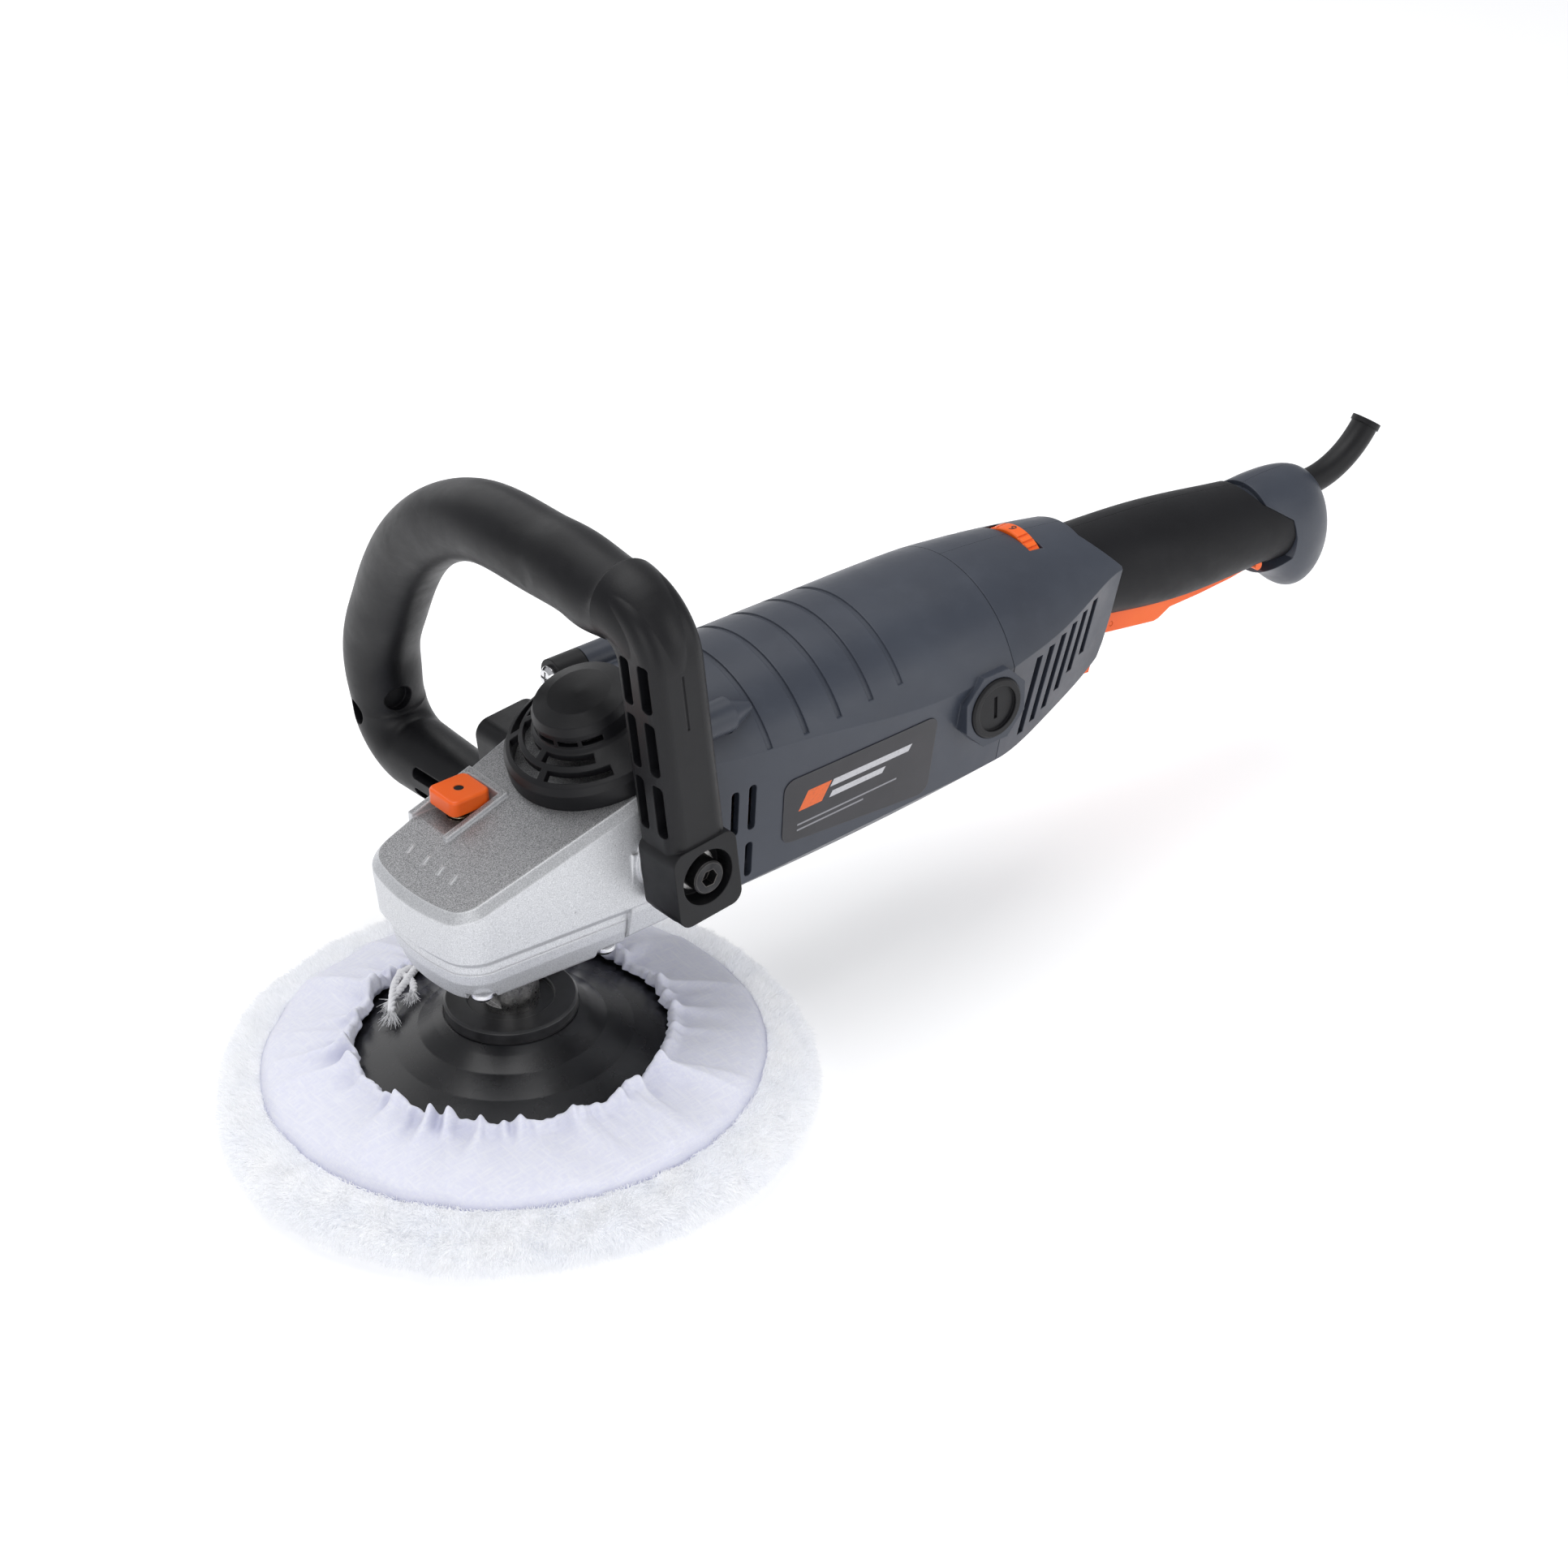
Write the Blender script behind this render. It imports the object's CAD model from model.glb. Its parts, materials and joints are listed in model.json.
"""Looks for a rotary polisher with a wool bonnet.

The spindle axis is +Z through the origin, the wool rests near z = 0 and the body runs
towards +X. The script adds a wool pile, a gathered cloth skirt, drawstring tails, a dial
numeral and a lock button tip to the CAD pieces. Lengths are metres; where a table or
function says mm, its result is scaled by MM.
"""
import bpy
import json
import math
import random
from mathutils import Matrix, Vector, noise


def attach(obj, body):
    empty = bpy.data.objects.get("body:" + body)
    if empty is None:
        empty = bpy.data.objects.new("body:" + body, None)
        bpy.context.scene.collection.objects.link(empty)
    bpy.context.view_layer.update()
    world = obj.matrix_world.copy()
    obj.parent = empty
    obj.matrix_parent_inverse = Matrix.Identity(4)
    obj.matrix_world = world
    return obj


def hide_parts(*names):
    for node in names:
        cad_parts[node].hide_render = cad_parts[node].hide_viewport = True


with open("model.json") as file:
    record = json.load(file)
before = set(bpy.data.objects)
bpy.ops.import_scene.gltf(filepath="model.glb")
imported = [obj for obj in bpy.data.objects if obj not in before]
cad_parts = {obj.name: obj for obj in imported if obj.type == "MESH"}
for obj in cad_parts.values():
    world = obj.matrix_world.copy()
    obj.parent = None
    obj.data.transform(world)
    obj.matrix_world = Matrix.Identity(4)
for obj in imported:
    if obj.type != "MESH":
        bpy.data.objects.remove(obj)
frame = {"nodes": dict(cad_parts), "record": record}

MM = 0.001
TURN = 2 * math.pi
UP = Vector((0, 0, 1))
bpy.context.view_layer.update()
scene = bpy.context.scene


# ------------------------------------------------------------------ shader building
class Shader:
    """A Principled material textured in object coordinates (metres)."""

    def __init__(self, name):
        self.material = bpy.data.materials.new(name)
        self.material.use_nodes = True
        self.tree = self.material.node_tree
        self.tree.nodes.clear()
        output = self.node("OutputMaterial")
        self.principled = self.node("BsdfPrincipled")
        self.tree.links.new(self.principled.outputs[0], output.inputs[0])
        self.coords = self.node("TexCoord").outputs["Object"]
        self.normal = None

    def node(self, kind, **settings):
        """Add a node; each setting is an input socket if one has that name."""
        node = self.tree.nodes.new("ShaderNode" + kind)
        for key, value in settings.items():
            if key in node.inputs.keys():
                self.put(node.inputs[key], value)
            else:
                setattr(node, key, value)
        return node

    def put(self, socket, value):
        if isinstance(value, bpy.types.NodeSocket):
            self.tree.links.new(value, socket)
        else:
            socket.default_value = value

    def noise(self, scale, detail=3.0, roughness=0.55, stretch=None):
        source = self.coords
        if stretch:
            source = self.node("Mapping", Vector=source, Scale=stretch).outputs[0]
        texture = self.node("TexNoise", Vector=source, Scale=scale, Detail=detail,
                            Roughness=roughness)
        return texture.outputs["Fac"]

    def ramp(self, value, low=0.3, high=0.7, start=0.0, end=1.0):
        """Grey level going from start at low to end at high."""
        node = self.node("ValToRGB")
        self.put(node.inputs[0], value)
        for stop, position, grey in zip(node.color_ramp.elements, (low, high), (start, end)):
            stop.position = position
            stop.color = (grey, grey, grey, 1)
        return node.outputs[0]

    def map_range(self, value, low, high):
        node = self.node("MapRange")
        for index, setting in enumerate((value, low, high)):
            self.put(node.inputs[index], setting)
        return node.outputs[0]

    def mix(self, factor, first, second):
        # On a colour Mix node the colours are inputs 6 and 7, the result output 2.
        node = self.node("Mix", data_type="RGBA", blend_type="MIX")
        self.put(node.inputs[0], factor)
        for index, colour in ((6, first), (7, second)):
            is_socket = isinstance(colour, bpy.types.NodeSocket)
            self.put(node.inputs[index], colour if is_socket else (*colour, 1))
        return node.outputs[2]

    def two_tone(self, pattern, first, second, low=0.3, high=0.7):
        return self.mix(self.ramp(pattern, low, high), first, second)

    def tint(self, base, colour, mask, amount):
        return self.mix(self.times(mask, amount), base, colour)

    def calc(self, operation, first, second):
        node = self.node("Math", operation=operation)
        self.put(node.inputs[0], first)
        self.put(node.inputs[1], second)
        return node.outputs[0]

    def times(self, first, second):
        return self.calc("MULTIPLY", first, second)

    def vary(self, pattern, span, base):
        """base plus span times the pattern."""
        return self.calc("ADD", self.times(pattern, span), base)

    def component(self, vector, index):
        node = self.node("SeparateXYZ")
        self.put(node.inputs[0], vector)
        return node.outputs[index]

    def edge(self, radius, low=0.02, high=0.25):
        """0 on flats, 1 on edges, from how far a bevel turns the normal."""
        bevel = self.node("Bevel", samples=4, Radius=radius)
        geometry = self.node("NewGeometry")
        dot = self.node("VectorMath", operation="DOT_PRODUCT")
        self.put(dot.inputs[0], bevel.outputs[0])
        self.put(dot.inputs[1], geometry.outputs["Normal"])
        turned = self.calc("SUBTRACT", 1.0, dot.outputs["Value"])
        return self.map_range(turned, low, high)

    def bump(self, height, strength, distance, bevel=0.0):
        """Stack a bump on the last one; a bevel rounds the edges under the first."""
        node = self.node("Bump", Height=height, Strength=strength, Distance=distance)
        if self.normal is not None:
            self.put(node.inputs["Normal"], self.normal)
        elif bevel:
            rounded = self.node("Bevel", samples=4, Radius=bevel)
            self.put(node.inputs["Normal"], rounded.outputs[0])
        self.normal = node.outputs[0]

    def finish(self, colour, roughness, extra=None):
        inputs = {"Base Color": colour, "Roughness": roughness, **(extra or {})}
        for key, value in inputs.items():
            self.put(self.principled.inputs[key], value)
        if self.normal is not None:
            self.put(self.principled.inputs["Normal"], self.normal)
        return self.material


def shade(colour, factor, lift=0.0):
    return tuple(min(1, channel * factor + lift) for channel in colour)


# ------------------------------------------------------------------ materials
def plastic(name, colour, patch, roughness=0.45, grain=0.22, grain_scale=2600.0,
            bevel=0.0007, wear=0.10, specular=0.45):
    """Grained plastic or rubber with smudges, fine scratches and paler worn edges."""
    s = Shader(name)
    base = s.two_tone(s.noise(scale=22.0), colour, patch)
    smudge = s.noise(scale=75.0, detail=5, roughness=0.65)
    smudge_mask = s.ramp(smudge, low=0.52, high=0.78)
    base = s.tint(base, shade(patch, 1.5, lift=0.01), smudge_mask, amount=0.16)
    base = s.tint(base, shade(patch, 2.2, lift=0.03), s.edge(radius=0.0009), amount=wear)
    scratch = s.noise(scale=60.0, detail=4, roughness=0.7, stretch=(1.0, 1.0, 14.0))
    gloss = s.vary(s.ramp(smudge, low=0.35, high=0.75), span=0.13, base=roughness - 0.06)
    gloss = s.calc("ADD", gloss, s.times(s.ramp(scratch, low=0.6, high=0.72), -0.05))
    s.bump(s.noise(grain_scale, detail=2, roughness=0.6), grain, distance=0.00012, bevel=bevel)
    s.bump(s.noise(scale=260.0), strength=0.06, distance=0.0002)
    return s.finish(base, gloss, {"Specular IOR Level": specular})


def metal(name, colour, roughness=0.32, brush=(1.0, 1.0, 1.0), dark=0.25):
    """Brushed metal; dark is how far the brushing darkens it."""
    s = Shader(name)
    brushing = s.noise(scale=900.0, roughness=0.6, stretch=brush)
    stain = s.ramp(s.noise(scale=60.0, detail=4, roughness=0.6), low=0.55, high=0.8)
    base = s.two_tone(brushing, shade(colour, 1 - dark), colour, high=0.75)
    base = s.tint(base, shade(colour, 0.5), stain, amount=0.25)
    base = s.tint(base, shade(colour, 1.35, lift=0.05), s.edge(radius=0.0006), amount=0.5)
    s.bump(brushing, strength=0.12, distance=0.0001, bevel=0.0004)
    gloss = s.vary(brushing, span=0.18, base=roughness - 0.08)
    return s.finish(base, gloss, {"Metallic": 1.0})


def cast_aluminium():
    """Speckled casting, darker where it faces up, with scattered pits and bright edges."""
    s = Shader("cast_aluminium_mat")
    speckle = s.noise(scale=2300.0, detail=2, roughness=0.7)
    facing = s.component(s.node("NewGeometry").outputs["Normal"], 2)
    facing_up = s.map_range(facing, low=0.55, high=0.93)
    pale = s.two_tone(speckle, (0.50, 0.51, 0.53), (0.80, 0.81, 0.83))
    dark = s.two_tone(speckle, (0.12, 0.123, 0.128), (0.42, 0.42, 0.43), low=0.34, high=0.66)
    base = s.mix(facing_up, pale, dark)
    cells = s.node("TexVoronoi", feature="F1", Vector=s.coords, Scale=160.0)
    pit_dots = s.ramp(cells.outputs["Distance"], low=0.0, high=0.09, start=1.0, end=0.0)
    pits = s.times(pit_dots, s.ramp(s.noise(scale=35.0, detail=2), low=0.52, high=0.62))
    base = s.tint(base, (0.10, 0.10, 0.105), pits, amount=0.75)
    edges = s.edge(radius=0.0013, low=0.01, high=0.16)
    base = s.tint(base, (0.90, 0.90, 0.92), edges, amount=0.75)
    gloss = s.vary(s.noise(scale=900.0, roughness=0.6), span=0.20, base=0.34)
    relief = s.calc("ADD", speckle, s.times(pits, -2.0))
    s.bump(relief, strength=0.42, distance=0.00016, bevel=0.0013)
    s.bump(s.noise(scale=120.0), strength=0.10, distance=0.0006)
    return s.finish(base, gloss, {"Metallic": 0.62})


def pad_rubber():
    s = Shader("pad_rubber_mat")
    patches = s.noise(scale=45.0, detail=4, roughness=0.6)
    base = s.two_tone(patches, (0.0040, 0.0040, 0.0050), (0.0105, 0.0105, 0.0125),
                      low=0.35, high=0.75)
    dust = s.ramp(s.noise(scale=420.0, detail=4, roughness=0.7), low=0.64, high=0.74)
    base = s.tint(base, (0.30, 0.30, 0.31), dust, amount=0.06)
    s.bump(s.noise(scale=1500.0, detail=2), strength=0.10, distance=0.0001, bevel=0.0008)
    s.bump(s.noise(scale=90.0), strength=0.10, distance=0.0006)
    gloss = s.vary(patches, span=0.20, base=0.17)
    return s.finish(base, gloss, {"Specular IOR Level": 0.5})


def skirt_cloth():
    """Plain weave along X and Y, with uneven threads and shaded creases."""
    s = Shader("skirt_cloth_mat")
    threads = [s.node("TexWave", bands_direction=axis, Vector=s.coords, Scale=720.0,
                      Distortion=1.2, Detail=2.0, **{"Detail Scale": 0.6}).outputs["Fac"]
               for axis in "XY"]
    weave = s.times(*threads)
    slubs = [s.noise(scale=900.0, roughness=0.7, stretch=stretch)
             for stretch in ((0.06, 1.0, 1.0), (1.0, 0.06, 1.0))]
    slub = s.calc("MAXIMUM", *slubs)
    base = s.two_tone(slub, (0.82, 0.83, 0.95), (0.92, 0.93, 0.99), low=0.45, high=0.75)
    gaps = s.ramp(weave, low=0.0, high=0.5, start=1.0, end=0.0)
    base = s.tint(base, (0.62, 0.62, 0.76), gaps, amount=0.10)
    occlusion = s.node("AmbientOcclusion", samples=8, Distance=0.0075).outputs["AO"]
    creases = s.ramp(occlusion, low=0.30, high=0.95, start=1.0, end=0.0)
    base = s.mix(creases, base, (0.44, 0.45, 0.60))
    s.bump(weave, strength=0.25, distance=0.00012)
    s.bump(slub, strength=0.28, distance=0.00022)
    s.bump(s.noise(scale=160.0, detail=4, roughness=0.6), strength=0.35, distance=0.0009)
    return s.finish(base, 0.86, {
        "Sheen Weight": 0.25, "Sheen Roughness": 0.5, "Specular IOR Level": 0.2,
        "Subsurface Weight": 0.12, "Subsurface Radius": (0.004, 0.004, 0.005)})


def wool(name, root, tip, glow=0.0):
    """Matt wool; glow is a faint emission that keeps it white."""
    s = Shader(name)
    clumps = s.noise(scale=70.0, detail=4, roughness=0.6)
    strands = s.noise(scale=1200.0, roughness=0.7, stretch=(1.0, 1.0, 0.35))
    base = s.two_tone(clumps, root, tip, low=0.35)
    gaps = s.ramp(strands, high=0.55, start=1.0, end=0.0)
    base = s.tint(base, shade(root, 0.80), gaps, amount=0.12)
    s.bump(strands, strength=0.35, distance=0.0005)
    s.bump(s.noise(scale=260.0, detail=4, roughness=0.65), strength=0.3, distance=0.0010)
    return s.finish(base, 0.95, {
        "Sheen Weight": 0.5, "Sheen Roughness": 0.6, "Specular IOR Level": 0.1,
        "Emission Color": base, "Emission Strength": glow,
        "Subsurface Weight": 0.25, "Subsurface Radius": (0.006, 0.006, 0.006)})


PRINT_ORANGE = (0.80, 0.13, 0.012)
PRINT_PALE = (0.62, 0.62, 0.65)
PRINT_GREY = (0.35, 0.35, 0.38)
# Printed bars: x from, x to, z from, z to, lean (x per z), colour, ink strength
LABEL_BARS = (
    (0.1080, 0.1190, 0.0985, 0.1065, 0.5, PRINT_ORANGE, 0.95),
    (0.1225, 0.1600, 0.1035, 0.1065, 0.5, PRINT_PALE, 0.85),
    (0.1225, 0.1480, 0.0985, 0.1012, 0.5, PRINT_PALE, 0.85),
    (0.1080, 0.1560, 0.0918, 0.0926, 0.0, PRINT_GREY, 0.7),
    (0.1080, 0.1400, 0.0893, 0.0901, 0.0, PRINT_GREY, 0.7),
)
PRINT_PIVOT_X = 0.10
PRINT_SLOPE = 0.035  # rise of the print lines per unit of x


def label():
    """Dark label with plain bars standing for print."""
    s = Shader("label_mat")
    x, z = s.component(s.coords, 0), s.component(s.coords, 2)
    fine = s.noise(scale=1800.0, detail=2)
    base = s.two_tone(s.noise(scale=40.0), (0.012, 0.012, 0.016), (0.022, 0.021, 0.027))
    edges = s.edge(radius=0.0010, low=0.02, high=0.3)
    base = s.tint(base, (0.06, 0.06, 0.07), edges, amount=0.5)
    rise = s.times(s.calc("SUBTRACT", x, PRINT_PIVOT_X), PRINT_SLOPE)
    line_z = s.calc("SUBTRACT", z, rise)
    worn = s.ramp(s.noise(scale=900.0, roughness=0.7), low=0.25, high=0.5, start=0.75)

    def between(value, low, high):
        return s.times(s.calc("GREATER_THAN", value, low), s.calc("LESS_THAN", value, high))

    for x_low, x_high, z_low, z_high, lean, colour, strength in LABEL_BARS:
        bar_x = x
        if lean:
            bar_x = s.calc("SUBTRACT", x, s.times(s.calc("SUBTRACT", line_z, z_low), lean))
        bar = s.times(between(bar_x, x_low, x_high), between(line_z, z_low, z_high))
        base = s.tint(base, colour, bar, s.times(worn, strength))
    s.bump(fine, strength=0.08, distance=0.00005, bevel=0.0003)
    return s.finish(base, s.vary(fine, span=0.12, base=0.30))


def numeral_ink():
    colour = (0.035, 0.030, 0.030)
    s = Shader("numeral_ink_mat")
    mottle = s.noise(scale=1500.0, roughness=0.7)
    base = s.two_tone(mottle, shade(colour, 0.86), colour)
    s.bump(mottle, strength=0.1, distance=0.00004)
    return s.finish(base, s.vary(mottle, span=0.1, base=0.4))


def black_oxide():
    s = Shader("black_oxide_mat")
    mottle = s.noise(scale=900.0, roughness=0.6)
    base = s.two_tone(s.noise(scale=200.0, detail=4), (0.018, 0.018, 0.02),
                      (0.05, 0.05, 0.052), high=0.8)
    edges = s.edge(radius=0.0006, low=0.01, high=0.2)
    base = s.tint(base, (0.32, 0.30, 0.27), edges, amount=0.6)
    s.bump(mottle, strength=0.16, distance=0.0001, bevel=0.0004)
    return s.finish(base, s.vary(mottle, span=0.2, base=0.26), {"Metallic": 0.75})


def flange_black():
    s = Shader("flange_black_mat")
    patches = s.noise(scale=150.0, detail=4, roughness=0.6)
    base = s.two_tone(patches, (0.010, 0.010, 0.011), (0.026, 0.026, 0.028), high=0.8)
    edges = s.edge(radius=0.0006, low=0.01, high=0.2)
    base = s.tint(base, (0.20, 0.20, 0.20), edges, amount=0.35)
    s.bump(s.noise(scale=1300.0, detail=2), strength=0.1, distance=0.0001, bevel=0.0005)
    gloss = s.vary(patches, span=0.15, base=0.24)
    return s.finish(base, gloss, {"Specular IOR Level": 0.6})


MATERIALS = {
    "slate_plastic": plastic("slate_plastic_mat", (0.034, 0.040, 0.056), (0.044, 0.052, 0.071),
                             roughness=0.40, grain=0.16, wear=0.18),
    "black_plastic": plastic("black_plastic_mat", (0.0042, 0.0042, 0.0052),
                             (0.0075, 0.0075, 0.0092), roughness=0.44, grain=0.25,
                             grain_scale=1900.0, specular=0.30),
    "soft_grip": plastic("soft_grip_mat", (0.0042, 0.0042, 0.0055), (0.008, 0.008, 0.010),
                         roughness=0.54, grain=0.40, grain_scale=2400.0, wear=0.05,
                         specular=0.24),
    "cord_rubber": plastic("cord_rubber_mat", (0.004, 0.004, 0.005), (0.008, 0.008, 0.009),
                           roughness=0.46, grain=0.30, grain_scale=1600.0, wear=0.08,
                           specular=0.30),
    "orange_plastic": plastic("orange_plastic_mat", (0.90, 0.115, 0.007),
                              (0.99, 0.150, 0.013), roughness=0.38, grain=0.12, wear=0.14,
                              bevel=0.0006),
    "cast_aluminium": cast_aluminium(),
    "steel": metal("steel_mat", (0.58, 0.57, 0.56), roughness=0.28),
    "screw_chrome": metal("screw_chrome_mat", (0.82, 0.82, 0.84), roughness=0.16, dark=0.12),
    "lamination": metal("lamination_mat", (0.30, 0.30, 0.32), roughness=0.4,
                        brush=(6.0, 0.4, 0.4)),
    "copper": metal("copper_mat", (0.62, 0.27, 0.12), brush=(1.0, 5.0, 5.0)),
    "brass": metal("brass_mat", (0.72, 0.52, 0.22), roughness=0.3),
    "spring_steel": metal("spring_wire_mat", (0.60, 0.52, 0.36), roughness=0.25),
    "carbon": plastic("carbon_mat", (0.012, 0.012, 0.012), (0.03, 0.03, 0.03),
                      roughness=0.55, grain=0.5),
    "fan_plastic": plastic("fan_plastic_mat", (0.012, 0.012, 0.012), (0.022, 0.022, 0.022),
                           roughness=0.5, grain=0.2),
    "pad_rubber": pad_rubber(),
    "skirt_cloth": skirt_cloth(),
    "black_oxide": black_oxide(),
    "label": label(),
    "wool": wool("wool_base_mat", (0.89, 0.905, 0.95), (0.95, 0.955, 0.985), glow=0.07),
    "drawstring": wool("drawstring_mat", (0.84, 0.84, 0.87), (0.95, 0.95, 0.97)),
}
flange_mat = flange_black()
fibre_mat = wool("wool_fibre_mat", (0.95, 0.96, 0.99), (0.985, 0.988, 1.0), glow=0.12)

slot_of = {part["node"]: part["material_slot"] for part in frame["record"]["subparts"]}
for node_name, piece in frame["nodes"].items():
    material = flange_mat if node_name == "pad_flange" else MATERIALS[slot_of[node_name]]
    if not piece.material_slots:
        piece.data.materials.append(material)
    for material_slot in piece.material_slots:
        material_slot.material = material


# ------------------------------------------------------------------ mesh helpers
def make(name, verts, faces, material, body, smooth=True):
    """Build a mesh object that moves with a body and fills a material slot."""
    mesh = bpy.data.meshes.new(name)
    mesh.from_pydata([tuple(vert) for vert in verts], [], faces)
    mesh.validate()
    mesh.materials.append(material)
    if smooth:
        mesh.polygons.foreach_set("use_smooth", [True] * len(mesh.polygons))
    piece = bpy.data.objects.new(name, mesh)
    scene.collection.objects.link(piece)
    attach(piece, body)
    return piece


def band(first, second, count):
    """Quads joining two closed rings that start at these vertex numbers."""
    pairs = [(i, (i + 1) % count) for i in range(count)]
    return [(first + i, first + j, second + j, second + i) for i, j in pairs]


def noise_at(x, y, z, seed, spread=1.0):
    """Smooth noise; spread multiplies x and y, seed picks another part of the field."""
    return noise.noise(Vector((x * spread + seed, y * spread - seed * 0.7, z + seed * 1.3)))


def jitter(rng, z_low=-1, z_high=1):
    return Vector((rng.uniform(-1, 1), rng.uniform(-1, 1), rng.uniform(z_low, z_high)))


def tangent(path, i):
    return (path[min(i + 1, len(path) - 1)] - path[max(i - 1, 0)]).normalized()


def circle_point(along, angle):
    """Unit vector at an angle on the circle square to the direction along."""
    side = along.cross(UP)
    if side.length < 1e-6:
        side = Vector((1, 0, 0))
    side.normalize()
    return side * math.cos(angle) + along.cross(side) * math.sin(angle)


def add_tube(verts, faces, path, radius, sides, end_scale=1.0):
    """Append a capped tube that narrows evenly to end_scale of its radius."""
    start = len(verts)
    last = len(path) - 1
    for i, centre in enumerate(path):
        along = tangent(path, i)
        ring_radius = radius * (1.0 - (1.0 - end_scale) * (i / last))
        for k in range(sides):
            verts.append(centre + circle_point(along, TURN * k / sides) * ring_radius)
    for i in range(last):
        faces += band(start + i * sides, start + (i + 1) * sides, sides)
    faces.append(tuple(start + k for k in reversed(range(sides))))
    faces.append(tuple(start + last * sides + k for k in range(sides)))


# ------------------------------------------------------------------ wool pile
# Radius and height in mm, from under the pad, round the rim and up to the inner edge
WOOL_PROFILE = [
    (30.0, 0.9), (60.0, 0.6), (85.0, 0.8), (97.0, 1.2), (104.0, 2.8), (108.6, 6.2),
    (110.4, 11.0), (108.4, 15.6), (104.0, 18.6), (98.0, 20.2), (93.5, 20.6),
]
WOOL_FLOOR = 0.35  # mm, lowest height of the base surface
WOOL_CENTRE_Z = 0.0009
WOOL_INNER_RADIUS, WOOL_INNER_Z = 0.0918, 0.0160  # foot of the inner wall
WOOL_CAP_Z = 0.0145  # middle of the cap closing the inner wall
FIBRE_COUNT = 120000
FIBRE_FLOOR = 0.0004


def wool_point(angle, along):
    """Lumpy bonnet surface at an angle and a profile place along (0 to 1)."""
    place = along * (len(WOOL_PROFILE) - 1)
    i = min(int(place), len(WOOL_PROFILE) - 2)
    t = place - i
    (r0, z0), (r1, z1) = WOOL_PROFILE[i:i + 2]
    r = r0 * (1 - t) + r1 * t
    z = z0 * (1 - t) + z1 * t
    x, y = math.cos(angle), math.sin(angle)
    # The lumps fade in over 12 mm from radius 92 mm.
    rim = max(0.0, min(1.0, (r - 92.0) / 12.0))
    wobble = (2.6 * noise_at(x, y, 0.0, seed=3.1, spread=1.3)
              + 1.5 * noise_at(x, y, 0.4, seed=9.2, spread=3.4)
              + 0.35 * noise_at(x, y, z * 0.1, seed=5.0, spread=9))
    lump = 0.9 * noise_at(x * r, y * r, z * 0.12, seed=2.2, spread=0.10)
    lift = 0.55 * noise_at(x * r, y * r, 0.0, seed=7.7, spread=0.12)
    underside_fade = 1.0 if z > 2.0 else 0.25
    radius = r + (wobble + lump - 0.3) * rim
    height = max(WOOL_FLOOR, z + lift * underside_fade * rim)
    return Vector((radius * x, radius * y, height)) * MM


def build_wool_base():
    around, rows = ((420, 64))
    angles = [TURN * i / around for i in range(around)]
    verts = [wool_point(angle, j / rows) for j in range(rows + 1) for angle in angles]
    faces = []
    for j in range(rows):
        faces += band(j * around, (j + 1) * around, around)
    centre = len(verts)
    verts.append(Vector((0, 0, WOOL_CENTRE_Z)))
    faces += [(centre, (i + 1) % around, i) for i in range(around)]
    # An inner wall down to the pad rim and a cap close the form.
    wall = len(verts)
    verts += [Vector((WOOL_INNER_RADIUS * math.cos(angle), WOOL_INNER_RADIUS * math.sin(angle),
                      WOOL_INNER_Z)) for angle in angles]
    faces += band(rows * around, wall, around)
    cap = len(verts)
    verts.append(Vector((0, 0, WOOL_CAP_Z)))
    faces += [(cap, wall + i, wall + (i + 1) % around) for i in range(around)]
    piece = make("wool_pile_base", verts, faces, MATERIALS["wool"], "spindle")
    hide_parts("wool_bonnet")


def build_wool_fibres(rng):
    """Short bent blades growing outwards from the base, clumped into tufts."""
    step = 0.004  # change in angle and profile place used to find the normal
    tuft_scale = 160.0
    verts, faces = [], []
    for _ in range(FIBRE_COUNT):
        angle = rng.random() * 2 * math.pi
        along = 0.30 + 0.70 * rng.random() ** 0.8
        root = wool_point(angle, along)
        across = wool_point(angle + step, along) - root
        upward = (wool_point(angle, min(1.0, along + step))
                  - wool_point(angle, max(0.0, along - step)))
        normal = across.cross(upward)
        if normal.length < 1e-12:
            continue
        normal.normalize()
        outward = Vector((root.x, root.y, 0)).normalized()
        lean = Vector((0, 0, 0.6 if root.z > 0.012 else -0.3))
        if normal.dot(outward + lean) < 0:
            normal = -normal
        tuft = Vector([noise_at(root.x * tuft_scale, root.y * tuft_scale,
                                root.z * tuft_scale, seed) for seed in (1.0, 4.0, 8.0)])
        length = 0.0024 + 0.0020 * rng.random()
        if along > 0.9:  # shorter at the inner edge
            length *= 0.6
        if root.z < 0.003:  # and on the underside
            length *= 0.35
        growth = normal * 0.85 + outward * 0.50 + tuft * 0.5 + jitter(rng) * 0.32
        growth.normalize()
        side = growth.cross(jitter(rng))
        if side.length < 1e-6:
            continue
        side.normalize()
        curl = jitter(rng, -0.8, 0.6) * 0.35 + tuft * 0.6
        half_width = 0.00010 + 0.00008 * rng.random()
        foot = root - growth * 0.0004
        middle = root + growth * length * 0.5
        tip = root + growth * length + curl * length * 0.45
        for point in (middle, tip):
            point.z = max(point.z, FIBRE_FLOOR)
        n = len(verts)
        verts += [foot - side * half_width, foot + side * half_width,
                  middle + side * half_width * 0.8, middle - side * half_width * 0.8, tip]
        faces += [(n, n + 1, n + 2, n + 3), (n + 3, n + 2, n + 4)]
    make("wool_pile_fibres", verts, faces, fibre_mat, "spindle")


# ------------------------------------------------------------------ gathered cloth skirt
# Top of the pad: radius and height in mm
PAD_TOP = [(96.0, 21.2), (90, 21.6), (80, 23.1), (70, 25.0), (57, 28.3), (50, 30.8), (45, 32.6)]
GATHER_COUNT = 58
FOLD_COUNT = 26

skirt_rng = random.Random(23)
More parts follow.
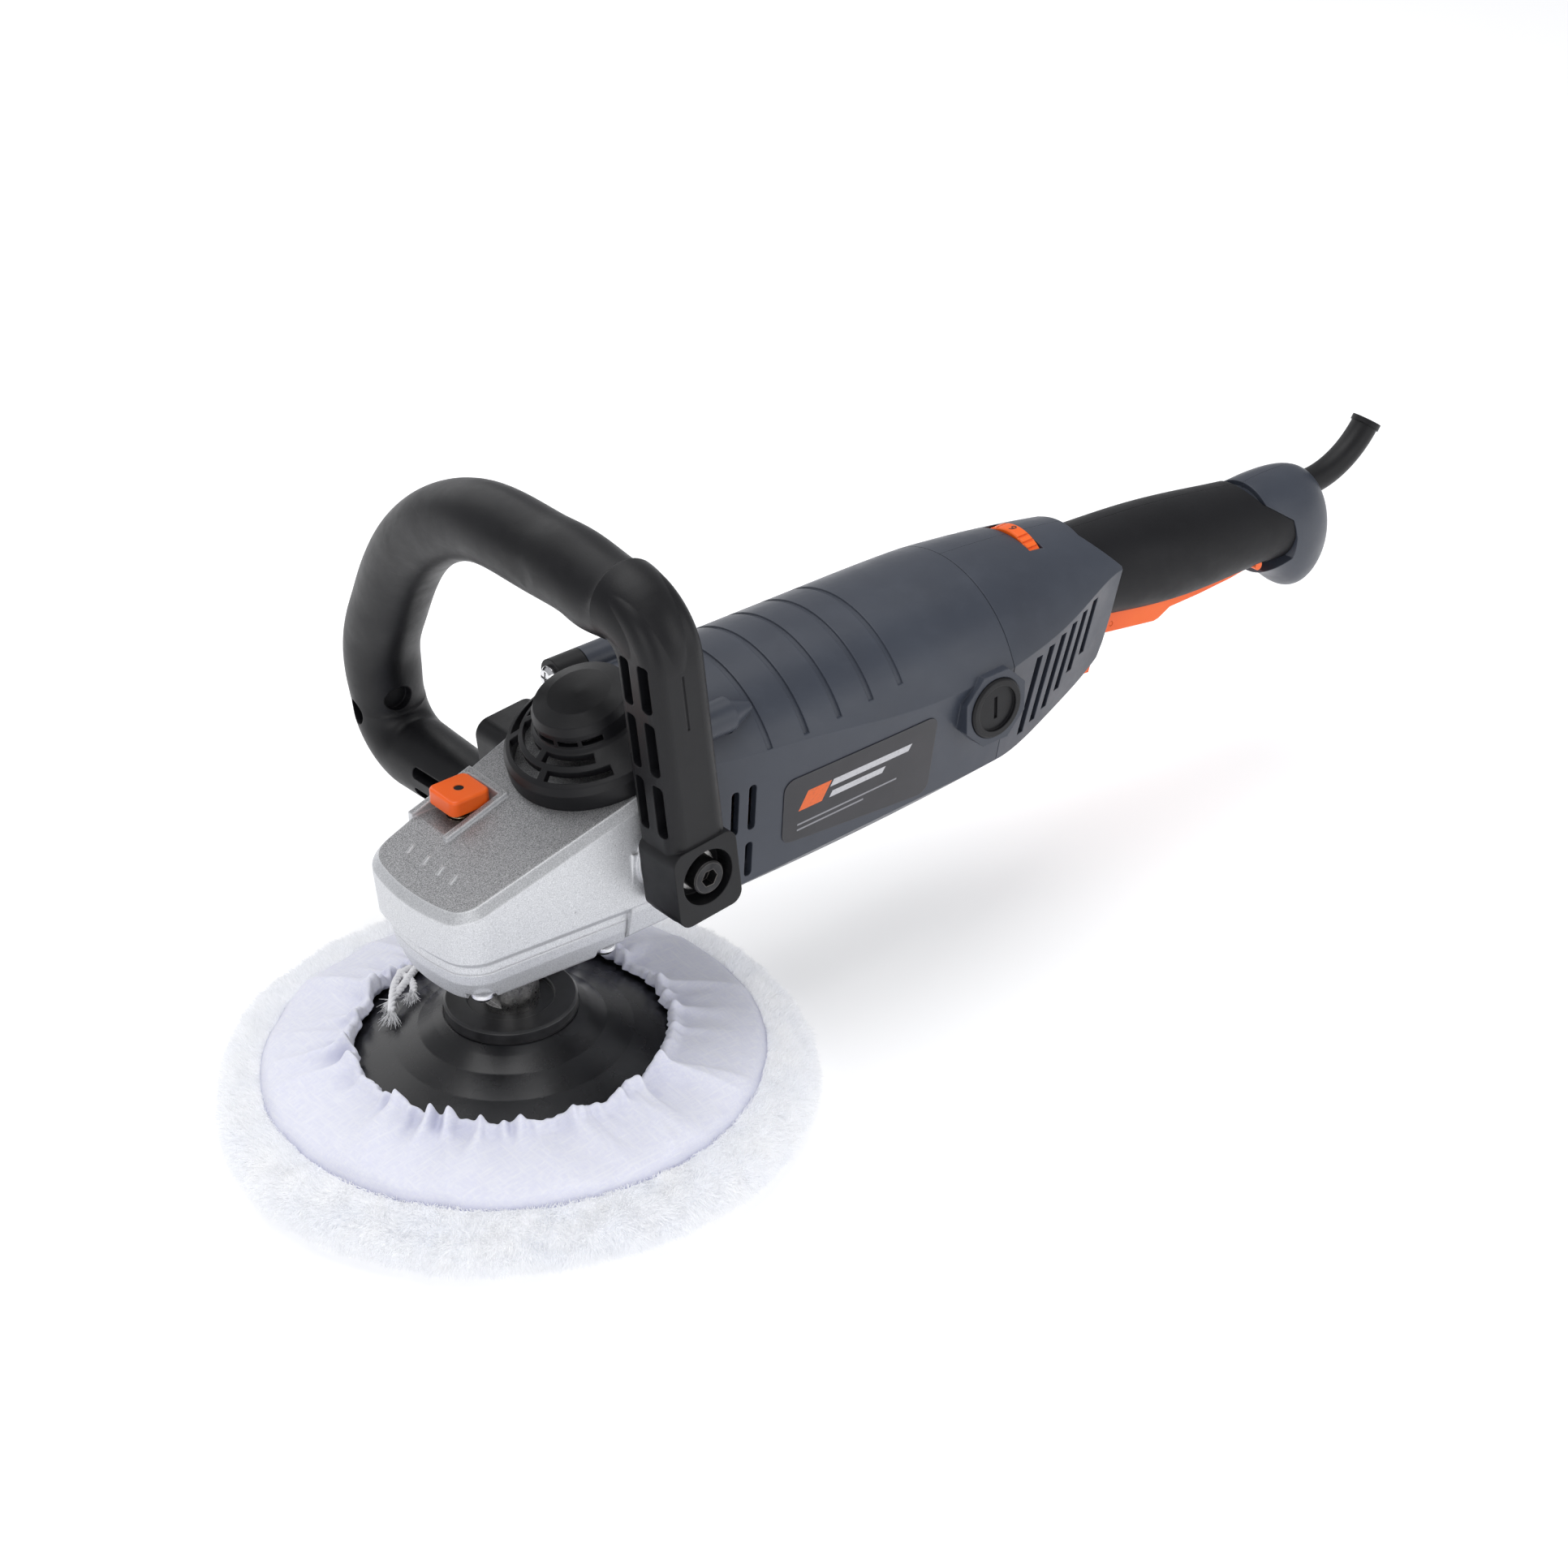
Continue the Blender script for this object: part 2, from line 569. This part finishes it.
# Gathers start at the inner edge: angle, size, slant, length
GATHERS = list(zip(
    sorted(skirt_rng.random() * 2 * math.pi for _ in range(GATHER_COUNT)),
    [0.5 + skirt_rng.random() for _ in range(GATHER_COUNT)],
    [skirt_rng.uniform(-0.10, 0.10) for _ in range(GATHER_COUNT)],
    [0.25 + 0.65 * skirt_rng.random() ** 1.4 for _ in range(GATHER_COUNT)]))
# Folds run out to the rim: angle, size, slant, width
FOLDS = list(zip(
    sorted(skirt_rng.random() * 2 * math.pi for _ in range(FOLD_COUNT)),
    [0.4 + skirt_rng.random() for _ in range(FOLD_COUNT)],
    [skirt_rng.uniform(-0.16, 0.16) for _ in range(FOLD_COUNT)],
    [0.035 + 0.05 * skirt_rng.random() for _ in range(FOLD_COUNT)]))


def pad_top(radius):
    """Pad height in mm at a radius in mm."""
    radius = max(45.5, min(95.9, radius))
    for (r0, z0), (r1, z1) in zip(PAD_TOP, PAD_TOP[1:]):
        if r1 <= radius <= r0:
            return z0 + (z1 - z0) * ((radius - r0) / (r1 - r0))


def angle_gap(first, second):
    return (first - second + math.pi) % (2 * math.pi) - math.pi


def cloth_height(angle, out):
    """Height over the pad in mm; out is 0 at the gathered edge and 1 at the rim."""
    height = 0.0
    for centre, size, slant, length in GATHERS:
        gap = angle_gap(angle, centre + slant * out)
        if abs(gap) < 0.16:
            width = 0.026 + 0.040 * out
            fade = max(0.0, 1.0 - out / length) ** 1.2
            height += 2.7 * size * fade * math.exp(-(gap / width) ** 2)
    rim_fade = 1.0 if out < 0.82 else max(0.0, (1.0 - out) / 0.18) * 0.6 + 0.4
    for centre, size, slant, base_width in FOLDS:
        gap = angle_gap(angle, centre + slant * out)
        if abs(gap) < 0.4:
            width = base_width * (0.7 + 0.8 * out)
            ridge = math.exp(-abs(gap / width) ** 1.4)
            height += 3.1 * size * (1.0 - 0.40 * out) * ridge * rim_fade
    x, y = math.cos(angle), math.sin(angle)
    # Broad, then fine crumpling
    height += 0.5 * (noise_at(x * 4 + out, y * 4, out * 2, seed=6.0) + 0.6)
    height += 0.28 * (noise_at(x, y, out * 5, seed=1.5, spread=16) + 0.5)
    return max(0.1, height)


def skirt_point(angle, out):
    x, y = math.cos(angle), math.sin(angle)
    height = cloth_height(angle, out)
    scallop = (1.7 * noise_at(x, y, 0, seed=12.0, spread=7)
               + 1.1 * noise_at(x, y, 0, seed=14.0, spread=22))
    inner = 57.4 + scallop + 0.35 * (cloth_height(angle, 0.0) - 2.0)
    outer = (95.0 + 1.0 * noise_at(x, y, 0, seed=20.0, spread=2)
             + 0.5 * noise_at(x, y, 0, seed=21.0, spread=9))
    r = inner + (outer - inner) * out
    pad = pad_top(r)
    # Hem roll near the inner edge, belly in the middle, tuck at the rim
    roll = 3.0 * math.exp(-((out - 0.07) / 0.06) ** 2)
    belly = 3.0 * math.sin(math.pi * min(1.0, out ** 1.3)) ** 0.75
    tuck = 0.0 if out < 0.86 else ((out - 0.86) / 0.14) ** 2 * 2.6
    flatten = 1.0 if out < 0.9 else 1.0 - 0.7 * (out - 0.9) / 0.1
    edge_drop = 1.0 if out > 0.02 else 0.4
    z = pad + 0.35 + (height * flatten + roll + belly) * edge_drop - tuck
    shift = 0.9 * noise_at(x, y, out * 3, seed=30.0, spread=12) * (1 - out)  # sideways
    return Vector((r * x - shift * y, r * y + shift * x, max(z, pad + 0.15 - tuck))) * MM


def build_skirt():
    lip_inset, lip_gap = 0.0016, 0.00015
    around, rows = ((1080, 64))
    verts = [skirt_point(TURN * i / around, j / rows)
             for j in range(rows + 1) for i in range(around)]
    faces = []
    for j in range(rows):
        faces += band(j * around, (j + 1) * around, around)
    # A lip turned under the inner edge gives the hem thickness.
    lip = len(verts)
    for edge in verts[:around]:
        r = math.hypot(edge.x, edge.y)
        lip_r = r + lip_inset
        z = pad_top(lip_r * 1000) * MM + lip_gap
        verts.append(Vector((edge.x / r * lip_r, edge.y / r * lip_r, z)))
    for i in range(around):
        j = (i + 1) % around
        faces.append((j, i, lip + i, lip + j))
    skirt = make("bonnet_skirt_cloth", verts, faces, MATERIALS["skirt_cloth"], "spindle")
    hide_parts("bonnet_skirt")
    smoothing = skirt.modifiers.new("smooth", "SMOOTH")
    smoothing.factor = 0.5
    smoothing.iterations = 1


# ------------------------------------------------------------------ drawstring tails
# Bezier control points of each tail, in mm
TAILS = (
    [(-6, 53, 34.5), (-12, 47, 38), (-19, 43, 37), (-26, 40, 35.5)],
    [(-9, 54, 34.0), (-20, 49, 38.5), (-24, 43, 37), (-31, 34, 35.0)],
    [(-13, 55, 33.5), (-17, 50, 36.0), (-12, 44, 36.5), (-18, 39, 35.0)],
)
TAIL_STEPS = 46
PLY_COUNT, PLY_RADIUS, PLY_OFFSET = 3, 0.00082, 0.00075
TWIST = 0.55  # radians per step
FRAY_COUNT, FRAY_RADIUS = 70, 0.00016


def bezier(controls, steps):
    degree = len(controls) - 1
    path = []
    for i in range(steps + 1):
        t = i / steps
        point = Vector((0, 0, 0))
        for k, control in enumerate(controls):
            weight = math.comb(degree, k) * t ** k * (1 - t) ** (degree - k)
            point += Vector(control) * weight
        path.append(point * MM)
    return path


def build_drawstring(rng):
    """Twisted tails with frayed ends."""
    verts, faces = [], []
    for controls in TAILS:
        line = bezier(controls, TAIL_STEPS)
        for ply in range(PLY_COUNT):
            phase = ply * 2 * math.pi / PLY_COUNT
            strand = [point + circle_point(tangent(line, i), i * TWIST + phase) * PLY_OFFSET
                      for i, point in enumerate(line)]
            add_tube(verts, faces, strand, PLY_RADIUS, sides=7)
        end = line[-1]
        onward = (line[-1] - line[-4]).normalized()
        for _ in range(FRAY_COUNT):
            spray = (onward + jitter(rng, -0.8, 0.7) * 0.75).normalized()
            length = rng.uniform(0.003, 0.0085)
            middle = end + spray * length * 0.5 + jitter(rng, -1, 0.4) * 0.0008
            droop = Vector((rng.uniform(-1, 1), rng.uniform(-1, 1), -0.6)) * 0.0012
            path = [end - onward * 0.001, middle, end + spray * length + droop]
            add_tube(verts, faces, path, FRAY_RADIUS, sides=4, end_scale=0.4)
    tails = make("drawstring_tails", verts, faces, MATERIALS["drawstring"], "spindle")
    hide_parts("bonnet_drawstring")


# ------------------------------------------------------------------ dial and lock button
DIAL_X, DIAL_Z, DIAL_RADIUS = 0.250, 0.13650, 0.01800  # the dial turns about X
BUTTON_X, BUTTON_Y = -0.0025, 0.02005
BUTTON_LEVELS = (0.12670, 0.12715, 0.12725)
BUTTON_RADIUS = 0.00182


def build_numeral():
    """The figure 6 wrapped over the top of the dial."""
    text = bpy.data.curves.new("dial_numeral", "FONT")
    text.body = "6"
    text.size = 0.0052
    text.extrude = 0.00012
    text.align_x = "CENTER"
    text.align_y = "CENTER"
    source = bpy.data.objects.new("numeral_source", text)
    scene.collection.objects.link(source)
    depsgraph = bpy.context.evaluated_depsgraph_get()
    glyph = bpy.data.meshes.new_from_object(source.evaluated_get(depsgraph))
    bpy.data.objects.remove(source, do_unlink=True)
    verts = []
    for x, y, z in (vert.co for vert in glyph.vertices):
        dial_rise = math.sqrt(max(0.0, DIAL_RADIUS ** 2 - x ** 2))
        verts.append(Vector((DIAL_X - y, x, DIAL_Z + dial_rise + z)))
    faces = [tuple(polygon.vertices) for polygon in glyph.polygons]
    make("dial_numeral", verts, faces, numeral_ink(), "speed_dial",
         smooth=False)


def build_button_tip():
    """A short disc whose top ring is drawn in to make a chamfer."""
    sides, chamfer_scale = 32, 0.9
    verts, faces = [], []
    path = [Vector((BUTTON_X, BUTTON_Y, z)) for z in BUTTON_LEVELS]
    add_tube(verts, faces, path, BUTTON_RADIUS, sides)
    for vert in verts[-sides:]:
        vert.xy = path[-1].xy + (vert.xy - path[-1].xy) * chamfer_scale
    make("lock_button_tip", verts, faces, MATERIALS["black_plastic"], "lock_button",
         smooth=False)


strand_rng = random.Random(7)  # shared by the fibres and then the frayed ends
build_wool_base()
build_wool_fibres(strand_rng)
build_skirt()
build_drawstring(strand_rng)
build_numeral()
build_button_tip()

# ------------------------------------------------------------------ camera, lights, stage
CAMERA_PLACE = (-0.5403, -0.8270, 0.7311)
# Columns are the camera's right, up and backward directions
CAMERA_TURN = Matrix(((0.7695, 0.3425, -0.5391),
                      (-0.6384, 0.3902, -0.6634),
                      (-0.0169, 0.8547, 0.5189)))


def build_camera():
    camera = bpy.data.objects.new("camera", bpy.data.cameras.new("camera"))
    scene.collection.objects.link(camera)
    camera.matrix_world = Matrix.Translation(CAMERA_PLACE) @ CAMERA_TURN.to_4x4()
    camera.data.lens = 74.53
    camera.data.sensor_width = 36.0
    camera.data.clip_end = 50.0
    scene.camera = camera


def area_light(name, place, target, size, energy, size_y=None):
    light = bpy.data.lights.new(name, "AREA")
    light.energy = energy
    light.size = size
    if size_y:
        light.shape = "RECTANGLE"
        light.size_y = size_y
    lamp = bpy.data.objects.new(name, light)
    scene.collection.objects.link(lamp)
    lamp.location = place
    aim = Vector(target) - Vector(place)
    lamp.rotation_euler = aim.to_track_quat("-Z", "Y").to_euler()


def build_world():
    world = bpy.data.worlds.new("studio")
    scene.world = world
    world.use_nodes = True
    background = world.node_tree.nodes["Background"]
    background.inputs["Color"].default_value = (0.96, 0.97, 1.0, 1)
    background.inputs["Strength"].default_value = 0.46
    scene.view_settings.view_transform = "Standard"
    scene.view_settings.look = "None"


def build_floor():
    half, z = 6, -0.0006
    mesh = bpy.data.meshes.new("floor")
    corners = [(-half, -half, z), (half, -half, z), (half, half, z), (-half, half, z)]
    mesh.from_pydata(corners, [], [(0, 1, 2, 3)])
    s = Shader("floor_mat")
    base = s.mix(s.noise(scale=3.0, detail=2), (0.93, 0.93, 0.935), (0.95, 0.95, 0.955))
    mesh.materials.append(s.finish(base, 0.9, {
        "Specular IOR Level": 0.05, "Emission Color": base, "Emission Strength": 0.30}))
    floor = bpy.data.objects.new("floor", mesh)
    scene.collection.objects.link(floor)


build_camera()
area_light("key_top", (0.1, 0.15, 1.5), (0.15, 0, 0.1), size=1.6, energy=11.5, size_y=1.0)
area_light("fill_front", (-1.1, -1.0, 0.55), (0.05, 0, 0.1), size=0.9, energy=4.6)
area_light("side_near", (0.9, -1.3, 0.6), (0.2, 0, 0.1), size=1.0, energy=4.4)
area_light("rim_far", (0.3, 1.4, 0.9), (0.2, 0, 0.1), size=1.2, energy=4.6)
build_world()
build_floor()
